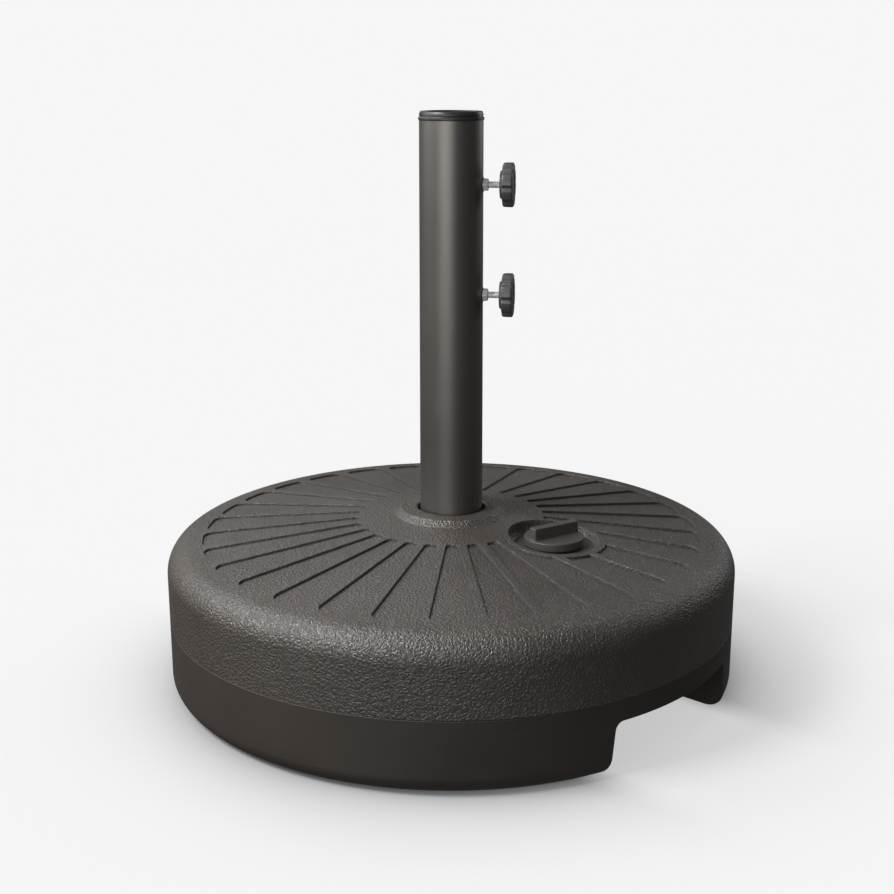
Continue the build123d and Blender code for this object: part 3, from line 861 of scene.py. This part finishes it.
net.loop(ring(152.0, 0, N_IN))
p, t = cdt(net.p, net.e, lambda m: in_poly(m, outer) & (np.hypot(m[:, 0], m[:, 1]) > 152.0 * math.cos(math.pi / N_IN)))
lower.triangles(np.column_stack([p, np.zeros(len(p))]), t)
lower.strip([ring(r, z, N_IN) for r, z in recess])
make("tank_lower", lower, "base", M_SMOOTH, ["tank_lower_shell"])


# ------------------------------------------------------------------ turned pieces
def turned(name, loop, n, body, slot, material, replaces, centre=(0.0, 0.0), clamp_z=None, lobes=None):
    sh = Shell()
    rows = []
    for k, (r, z) in enumerate(loop):
        p = ring(max(r, 0.0), z, n)
        if clamp_z is not None:
            p = clamp_pts(p, clamp_z)
        else:
            p[:, 0] += centre[0]
            p[:, 1] += centre[1]
        rows.append(p)
    sh.strip(rows, wrap=True)
    return make(name, sh, body, material, replaces)


bush = rounded_loop([
    (24.9, 460.5, 0.4), (25.8, 460.5, 0.3), (26.22, 463.0, 0.5), (26.22, 490.5, 0), (27.9, 490.5, 0.3), (28.2, 491.2, 0.3),
    (28.2, 492.6, 0.4), (27.3, 493.3, 0.2), (27.1, 493.9, 0.2), (27.5, 494.4, 0.3), (27.3, 496.0, 0.5), (26.4, 498.0, 0.7), (24.9, 498.0, 0.7)], 4)
turned("tube_bush", bush, 160, "base", "black_plastic", M_BLACK, ["tube_top_bush"])
turned("centring_ring", rounded_loop([(25.5, 26.0, 0.2), (26.22, 26.0, 0.2), (26.22, 60.0, 0.3), (24.9, 60.0, 0.6), (24.9, 40.0, 0.1), (25.5, 40.0, 0.1)], 3), 120, "base", "black_plastic", M_BLACK, ["pole_centring_ring"])
turned("cap_seal_ring", rounded_loop([(21.0, 132.0, 0.5), (24.6, 132.0, 0.6), (24.6, 133.5, 0.6), (21.0, 133.5, 0.5)], 4), 120, "cap_seal", "seal_rubber", M_RUBBER, ["filler_cap_seal"], (FX, FY))


def hexagon(theta, across, phase=0.0):
    k = (theta - phase) % (math.pi / 3) - math.pi / 6
    return across / 2 / np.cos(k)


def lobed(theta):
    """Knob outline: eight lobes parted by round valleys."""
    phase = math.radians(28.0 + 22.5)
    k = (theta - phase + math.pi / 8) % (math.pi / 4) - math.pi / 8
    dist, vr = 20.0, 2.6
    inside = vr ** 2 - (dist * np.sin(k)) ** 2
    valley = dist * np.cos(k) - np.sqrt(np.maximum(inside, 0))
    valley = np.where(inside > 0, valley, 30.0)
    edge = np.abs(np.sin(k)) * dist
    valley = np.where(inside > 0, valley, dist * np.cos(k) + (edge - vr) * 3.0)
    return smin(np.full_like(theta, 19.0), valley, 0.8)


for prefix, z in (("upper", 436.0), ("lower", 341.0)):
    body_knob, body_pad = prefix + "_knob", prefix + "_pad"
    # weld nut: hexagon with turned chamfer, corners up and down
    n = 96
    th = np.arange(n) * 2 * math.pi / n
    sh = Shell()
    rows = []

    def hex_row(s, limit, across=10.0, phase=math.radians(30.0)):
        rad = np.minimum(hexagon(th, across, phase + math.pi / 6), limit)
        return clamp_pts(np.stack([rad * np.cos(th), rad * np.sin(th), np.full(n, s)], 1), z)

    rows.append(clamp_pts(ring(3.02, 27.2, n), z))
    rows.append(hex_row(27.2, 9.0))
    for s, limit in ((27.6, 9.0), (29.0, 9.0), (31.2, 9.0), (31.35, 5.75), (31.5, 5.50), (31.65, 5.25), (31.82, 4.98), (31.95, 4.78)):
        rows.append(hex_row(s, limit))
    rows.append(clamp_pts(ring(4.55, 32.0, n), z))
    rows.append(clamp_pts(ring(3.45, 32.0, n), z))
    rows.append(clamp_pts(ring(3.02, 31.6, n), z))
    sh.strip(rows, wrap=True)
    make(prefix + "_nut", sh, "base", M_ZINC, [prefix + "_weld_nut"])
    # weld bead round the nut's foot
    sh = Shell()
    rows = []
    n_c, n_s = 96, 10
    for i in range(n_s):
        b = 2 * math.pi * i / n_s
        bead = 0.85 + 0.10 * np.sin(22 * th[:n_c] + 0.7) + 0.05 * np.sin(9 * th[:n_c] + (1.0 if prefix == "upper" else 2.3))
        foot_r_n = hexagon(th, 10.0, math.radians(60.0)) * 0.55 + 5.3 * 0.45 + 0.35
        rad = foot_r_n + bead * math.cos(b)
        t_c, u_c = rad * np.cos(th), rad * np.sin(th)
        s_c = np.sqrt(27.5 ** 2 - t_c ** 2) - 0.25 + bead * math.sin(b) * 0.95
        rows.append(clamp_pts(np.stack([t_c, u_c, s_c], 1), z))
    sh.strip(rows, wrap=True)
    make(prefix + "_nut_bead", sh, "base", M_WELD)
    # screw: helical M6 thread, plain neck and hexagon head inside the knob
    sh = Shell()
    n = 36
    th6 = np.arange(n) * 2 * math.pi / n
    rows = [clamp_pts(np.stack([1.3 * np.cos(th6), 1.3 * np.sin(th6), np.full(n, 29.0)], 1), z)]
    rows.append(clamp_pts(np.stack([1.3 * np.cos(th6), 1.3 * np.sin(th6), np.full(n, 27.6)], 1), z))
    rows.append(clamp_pts(np.stack([2.2 * np.cos(th6), 2.2 * np.sin(th6), np.full(n, 27.6)], 1), z))
    for s in np.arange(27.75, 44.01, 0.125):
        wave = np.abs(((s - th6 / (2 * math.pi)) % 1.0) * 2 - 1)
        depth = 0.40 * np.clip(1.18 * wave - 0.09, 0, 1)
        lead = min(1.0, max(0.0, (s - 27.6) / 0.9))
        tail = min(1.0, max(0.0, (44.0 - s) / 0.6))
        rad = (2.93 - depth) if tail == 1.0 else 2.93 - depth * tail
        rad = np.minimum(rad, 2.35 + 0.6 * lead)
        rows.append(clamp_pts(np.stack([rad * np.cos(th6), rad * np.sin(th6), np.full(n, s)], 1), z))
    rows.append(clamp_pts(np.stack([2.93 * np.cos(th6), 2.93 * np.sin(th6), np.full(n, 47.2)], 1), z))
    for s, lim in ((47.2, 9.0), (50.8, 9.0), (51.2, 5.1)):
        rad = np.minimum(hexagon(th6, 10.0, math.radians(60.0)), lim)
        rows.append(clamp_pts(np.stack([rad * np.cos(th6), rad * np.sin(th6), np.full(n, s)], 1), z))
    sh.strip(rows)
    sh.fan(rows[0], clamp_pts([(0, 0, 29.0)], z)[0])
    sh.fan(rows[-1], clamp_pts([(0, 0, 51.2)], z)[0])
    make(prefix + "_screw", sh, body_knob, M_ZINC, [prefix + "_clamp_screw"])
    # pad
    pad = rounded([(0.02, 25.1, 0), (1.9, 25.1, 0.4), (2.3, 25.6, 0.3), (2.3, 27.4, 0.3), (1.2, 27.4, 0.1), (1.2, 28.9, 0.3), (0.02, 28.9, 0)], 3)
    sh = Shell()
    sh.strip([clamp_pts(ring(r, s, 40), z) for r, s in pad])
    make(prefix + "_pad_tip", sh, body_pad, M_NYLON, [prefix + "_pressure_pad"], weld=3e-5)
    # knob
    n = 256
    thk = np.arange(n) * 2 * math.pi / n
    lobe = lobed(thk)
    sh = Shell()
    rows = []

    def row(s, rad):
        rad = np.broadcast_to(rad, (n,))
        rows.append(clamp_pts(np.stack([rad * np.cos(thk), rad * np.sin(thk), np.full(n, s)], 1), z))

    for r, s in rounded([(2.98, 47.0, 0), (2.98, 42.3, 0.3), (12.0, 42.3, 0.7), (12.0, 44.5, 0.6), (14.0, 44.5, 0)], 4):
        row(s, r)
    soft = lobe * 0.5 + 17.6 * 0.5
    row(44.5, soft - 3.0)
    row(44.55, lobe - 2.3)
    for t in np.linspace(0, math.pi / 2, 6):
        row(44.6 + 1.3 * (1 - math.cos(t)), lobe - 1.3 + 1.3 * math.sin(t) - 0.25)
    row(47.5, lobe - 0.08)
    row(50.0, lobe)
    row(52.3, lobe)
    for t in np.linspace(0, math.pi / 2, 7)[1:]:
        row(52.4 + 1.5 * math.sin(t), lobe - 1.5 * (1 - math.cos(t)))
    for u in (0.25, 0.5, 0.75, 1.0):
        row(53.9 + 0.28 * math.sin(u * math.pi / 2), (lobe - 1.5) * (1 - u) + (10.2) * u)
    for r, s in rounded([(10.2, 54.18, 0), (9.04, 54.18, 0.5), (9.04, 52.0, 0.3), (5.7, 52.0, 0)], 4)[1:]:
        row(s, r)
    row(51.4, 5.6)
    row(47.1, 5.6)
    sh.strip(rows, wrap=True)
    make(prefix + "_hand_knob", sh, body_knob, M_KNOB, [prefix + "_clamp_knob"])
    # press-in cover, slightly dished, with a finger of shadow round it
    cover = rounded([(0.02, 52.05, 0), (8.9, 52.05, 0.2), (8.9, 53.7, 0.5), (7.4, 53.55, 1.0), (0.02, 53.1, 0)], 4)
    sh = Shell()
    sh.strip([clamp_pts(ring(r, s, 96), z) for r, s in cover])
    make(prefix + "_cover_disc", sh, body_knob, M_KNOB, [prefix + "_knob_cover"], weld=3e-5)

# ------------------------------------------------------------------ filler cap
CAP_TOP, BAR_H, BAR_L, BAR_T, BAR_A = 140.4, 9.9, 46.6, 9.0, math.radians(74.5)
ca, sa = math.cos(BAR_A), math.sin(BAR_A)


def bar_sdf(x, y):
    """Inside distance of the grip bar's outline, in the cap's own (x, y)."""
    u, w = x * ca + y * sa, -x * sa + y * ca
    k = 1.6
    a, b = BAR_L / 2 - np.abs(u), BAR_T / 2 - np.abs(w)
    inner = k - np.hypot(np.maximum(k - a, 0), np.maximum(k - b, 0))
    return np.where((a < k) & (b < k), inner, np.minimum(a, b))


def bar_outline(s, n=9):
    k, half_l, half_t = 1.6, BAR_L / 2 - s, BAR_T / 2 - s
    rad = k - s
    pts = []
    for cx, cy, a0 in ((half_l - rad, half_t - rad, 0), (-half_l + rad, half_t - rad, 90), (-half_l + rad, -half_t + rad, 180), (half_l - rad, -half_t + rad, 270)):
        for a in np.linspace(a0, a0 + 90, n):
            pts.append((cx + rad * math.cos(math.radians(a)), cy + rad * math.sin(math.radians(a))))
    dense = []
    for i, p in enumerate(pts):
        q = pts[(i + 1) % len(pts)]
        m = max(1, int(math.hypot(q[0] - p[0], q[1] - p[1]) / 1.5))
        for j in range(m):
            dense.append((p[0] + (q[0] - p[0]) * j / m, p[1] + (q[1] - p[1]) * j / m))
    d = np.array(dense)
    return np.stack([d[:, 0] * ca - d[:, 1] * sa, d[:, 0] * sa + d[:, 1] * ca], 1)


def bar_z(x, y):
    s = bar_sdf(x, y)
    out = np.zeros_like(s)
    lo, hi, rl, rt = -0.6, 0.25, 0.6, 0.9
    # foot round, drafted side, top round
    a = np.clip((s - lo) / (0.0 - lo), 0, 1)
    out = np.where(s <= lo, 0.0, rl * (1 - np.sqrt(np.maximum(1 - a * a, 0))))
    side = rl + (s - 0.0) / (hi - 0.0) * (BAR_H - rl - rt)
    out = np.where(s > 0.0, side, out)
    b = np.clip((s - hi) / rt, 0, 1)
    top = BAR_H - rt + rt * np.sqrt(np.maximum(1 - (1 - b) ** 2, 0))
    out = np.where(s > hi, top, out)
    return out


net = Net()
R_CAP_FLAT = 24.5
# the bar runs to the cap's rim, so its ends stay inside the flat
net.loop(ring(R_CAP_FLAT, 0, 200))
for s in (-0.6, -0.5, -0.35, -0.2, -0.07, 0.0, 0.12, 0.25, 0.32, 0.45, 0.65, 0.9, 1.15):
    net.loop(bar_outline(s))
grid = np.array([(x, y) for x in np.arange(-22, 22.1, 2.2) for y in np.arange(-22, 22.1, 2.2)])
ss = bar_sdf(grid[:, 0], grid[:, 1])
grid = grid[((ss < -1.5) | (ss > 1.9)) & (np.hypot(grid[:, 0], grid[:, 1]) < 22.8)]
net.dots(grid)
pts, tris = cdt(net.p, net.e, lambda m: np.hypot(m[:, 0], m[:, 1]) < R_CAP_FLAT)
cap = Shell()
zc = CAP_TOP + bar_z(pts[:, 0], pts[:, 1])
cap.triangles(np.stack([pts[:, 0] + FX, pts[:, 1] + FY, zc], 1), tris)
side = rounded([(R_CAP_FLAT, 140.4, 0), (25.6, 140.4, 1.0), (25.6, 133.5, 0.5), (20.92, 133.5, 0.3), (20.92, 120.0, 0.6), (18.5, 120.0, 0.4), (18.5, 137.4, 1.0), (0.5, 137.4, 0)], 5)
rows = []
for r, zz2 in side:
    p = filler_ring(r)
    p[:, 2] = zz2
    rows.append(p)
cap.strip(rows)
cap.fan(rows[-1], (FX, FY, 137.4))
make("filler_cap_grip", cap, "cap", M_CAP, ["filler_cap"])

# ------------------------------------------------------------------ CAD nodes that stay
for node, mat in (("pole_tube", M_TUBE), ("tube_end_plate", M_STEEL), ("end_plate_nut", M_ZINC), ("anchor_bolt", M_ZINC),
                  ("anchor_washer", M_ZINC), ("anchor_spring_washer", M_STEEL)):
    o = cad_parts[node]
    if len(o.material_slots) == 0:
        o.data.materials.append(mat)
    for slot in o.material_slots:
        slot.material = mat

# ------------------------------------------------------------------ stage, light, camera
turn = math.radians(41.5)
LAMPS = []


def in_view(x, y, z):
    """From the camera's frame (right, away, up) to the row frame, in metres."""
    return Vector((x * math.cos(turn) - y * math.sin(turn), x * math.sin(turn) + y * math.cos(turn), z))


def area(name, place, aim, size, power, colour=(1, 1, 1)):
    light = bpy.data.lights.new(name, "AREA")
    light.shape = "RECTANGLE"
    light.size, light.size_y = size
    light.energy = power
    light.color = colour
    o = bpy.data.objects.new(name, light)
    o.location = in_view(*place)
    o.rotation_euler = (in_view(*aim) - o.location).to_track_quat("-Z", "Y").to_euler()
    bpy.context.scene.collection.objects.link(o)
    LAMPS.append(o)
    return o


area("key_left", (-0.98, -0.52, 1.36), (0, 0, 0.10), (0.60, 0.60), 28)
area("side_left", (-1.66, 0.12, 1.12), (0, 0, 0.10), (1.0, 0.9), 18)
area("back_left", (-0.65, 1.10, 1.50), (0, 0, 0.05), (1.0, 0.9), 9)
area("front_left", (-0.62, -1.78, 0.58), (0, 0, 0.28), (1.4, 0.78), 12.5)
area("back_right", (1.40, 1.32, 0.84), (0, 0, 0.1), (0.9, 0.9), 5)
# a pale round floor that curves up on all sides; its glow evens out what the lamps leave uneven, so only the shadows show
FLOOR_ALBEDO, FLOOR_WHITE, WORLD = 0.30, 0.9216, 0.09


def irradiance(points, normals):
    total = np.zeros(len(points))
    for o in LAMPS:
        light = o.data
        m = np.array(o.matrix_basis)
        u = (np.arange(14) + 0.5) / 14 - 0.5
        gx, gy = np.meshgrid(u * light.size, u * light.size_y)
        local = np.stack([gx.ravel(), gy.ravel(), np.zeros(gx.size)], 1)
        src = local @ m[:3, :3].T + m[:3, 3]
        face = -m[:3, 2]
        power = light.energy / (math.pi * light.size * light.size_y)
        patch = light.size * light.size_y / len(src)
        for q in src:
            d = q - points
            r2 = (d * d).sum(1)
            d /= np.sqrt(r2)[:, None]
            total += power * patch * np.maximum((d * normals).sum(1), 0) * np.maximum(-(d @ face), 0) / r2
    return total


stage_mat = Tree("pale_floor")
stage_mat.done(rgb(FLOOR_ALBEDO, FLOOR_ALBEDO, FLOOR_ALBEDO), 1.0, specular=0.0)
glow = stage_mat.node("ShaderNodeAttribute", attribute_name="glow")
stage_mat.bsdf.inputs["Emission Color"].default_value = rgb(1.0, 1.0, 1.0)
stage_mat.link(glow.outputs["Fac"], stage_mat.bsdf.inputs["Emission Strength"])
flat = np.concatenate([np.arange(0.0, 0.20, 0.02), np.arange(0.20, 0.50, 0.0125), np.arange(0.50, 2.4, 0.05), np.arange(2.4, 4.0, 0.2)])
profile = [(float(r), 0.0, 0.0) for r in flat[1:]]
profile += [(4.0 + 2.5 * math.sin(a), 2.5 * (1 - math.cos(a)), a) for a in np.linspace(0, math.pi / 2, 24)] + [(6.5, z, math.pi / 2) for z in (4.0, 6.0, 8.0)]
nx = 240
co, normal = [], []
for r, zf, tilt in profile:
    for i in range(nx):
        a = i * 2 * math.pi / nx
        co.append((r * math.cos(a), r * math.sin(a), zf - 0.00005))
        normal.append((-math.sin(tilt) * math.cos(a), -math.sin(tilt) * math.sin(a), math.cos(tilt)))
quads = [(k * nx + i, k * nx + (i + 1) % nx, (k + 1) * nx + (i + 1) % nx, (k + 1) * nx + i) for k in range(len(profile) - 1) for i in range(nx)]
quads.append(tuple(range(nx - 1, -1, -1)))
mesh = bpy.data.meshes.new("floor_sweep")
mesh.from_pydata([tuple(c) for c in co], [], quads)
mesh.polygons.foreach_set("use_smooth", [True] * len(quads))
floor = bpy.data.objects.new("floor_sweep", mesh)
mesh.materials.append(stage_mat.m)
bpy.context.scene.collection.objects.link(floor)
lit = FLOOR_ALBEDO * (irradiance(np.array([tuple(c) for c in co]), np.array([tuple(c) for c in normal])) / math.pi + WORLD)
print("floor: brightest share from the lamps", round(float(lit.max()), 3), "least", round(float(lit.min()), 3))
# painted shadow: the floor's glow is dimmed in a soft dark band round the tank's foot, weaker by the pockets
floor_x, floor_y = np.abs(np.array(co)[:, 0]), np.abs(np.array(co)[:, 1])
gap = np.maximum(np.hypot(floor_x, floor_y) - 0.238, 0.0)
by_pocket = np.clip((0.100 - floor_y) / 0.03, 0, 1) * np.clip((floor_x - 0.15) / 0.02, 0, 1)
painted_shadow = 0.46 * np.exp(-gap / 0.035) * (1 - 0.95 * by_pocket)
mesh.attributes.new("glow", "FLOAT", "POINT").data.foreach_set("value", np.maximum(FLOOR_WHITE - lit - painted_shadow, 0.0).astype(np.float32))
floor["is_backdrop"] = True
# the floor is bright to the eye, and adds no light of its own to the object
floor.visible_glossy = False
floor.visible_diffuse = False
bpy.context.scene.view_settings.view_transform = "Standard"

world = bpy.data.worlds.new("studio")
bpy.context.scene.world = world
world.use_nodes = True
world.node_tree.nodes["Background"].inputs[0].default_value = (1, 1, 1, 1)
world.node_tree.nodes["Background"].inputs[1].default_value = WORLD

cam = bpy.data.cameras.new("photo_camera")
cam.sensor_width = 36.0
cam.sensor_fit = "HORIZONTAL"
cam.lens = 1478.4 / 894.0 * 36.0
cam.shift_x = -4.27 / 894.0
cam.shift_y = -107.7 / 894.0
cam.clip_start, cam.clip_end = 0.05, 60.0
cam_o = bpy.data.objects.new("photo_camera", cam)
cam_o.location = in_view(0.0, -1.2667, 0.5407)
cam_o.rotation_euler = (math.pi / 2 - 0.187, 0.0, turn)
bpy.context.scene.collection.objects.link(cam_o)
bpy.context.scene.camera = cam_o

lo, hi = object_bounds()
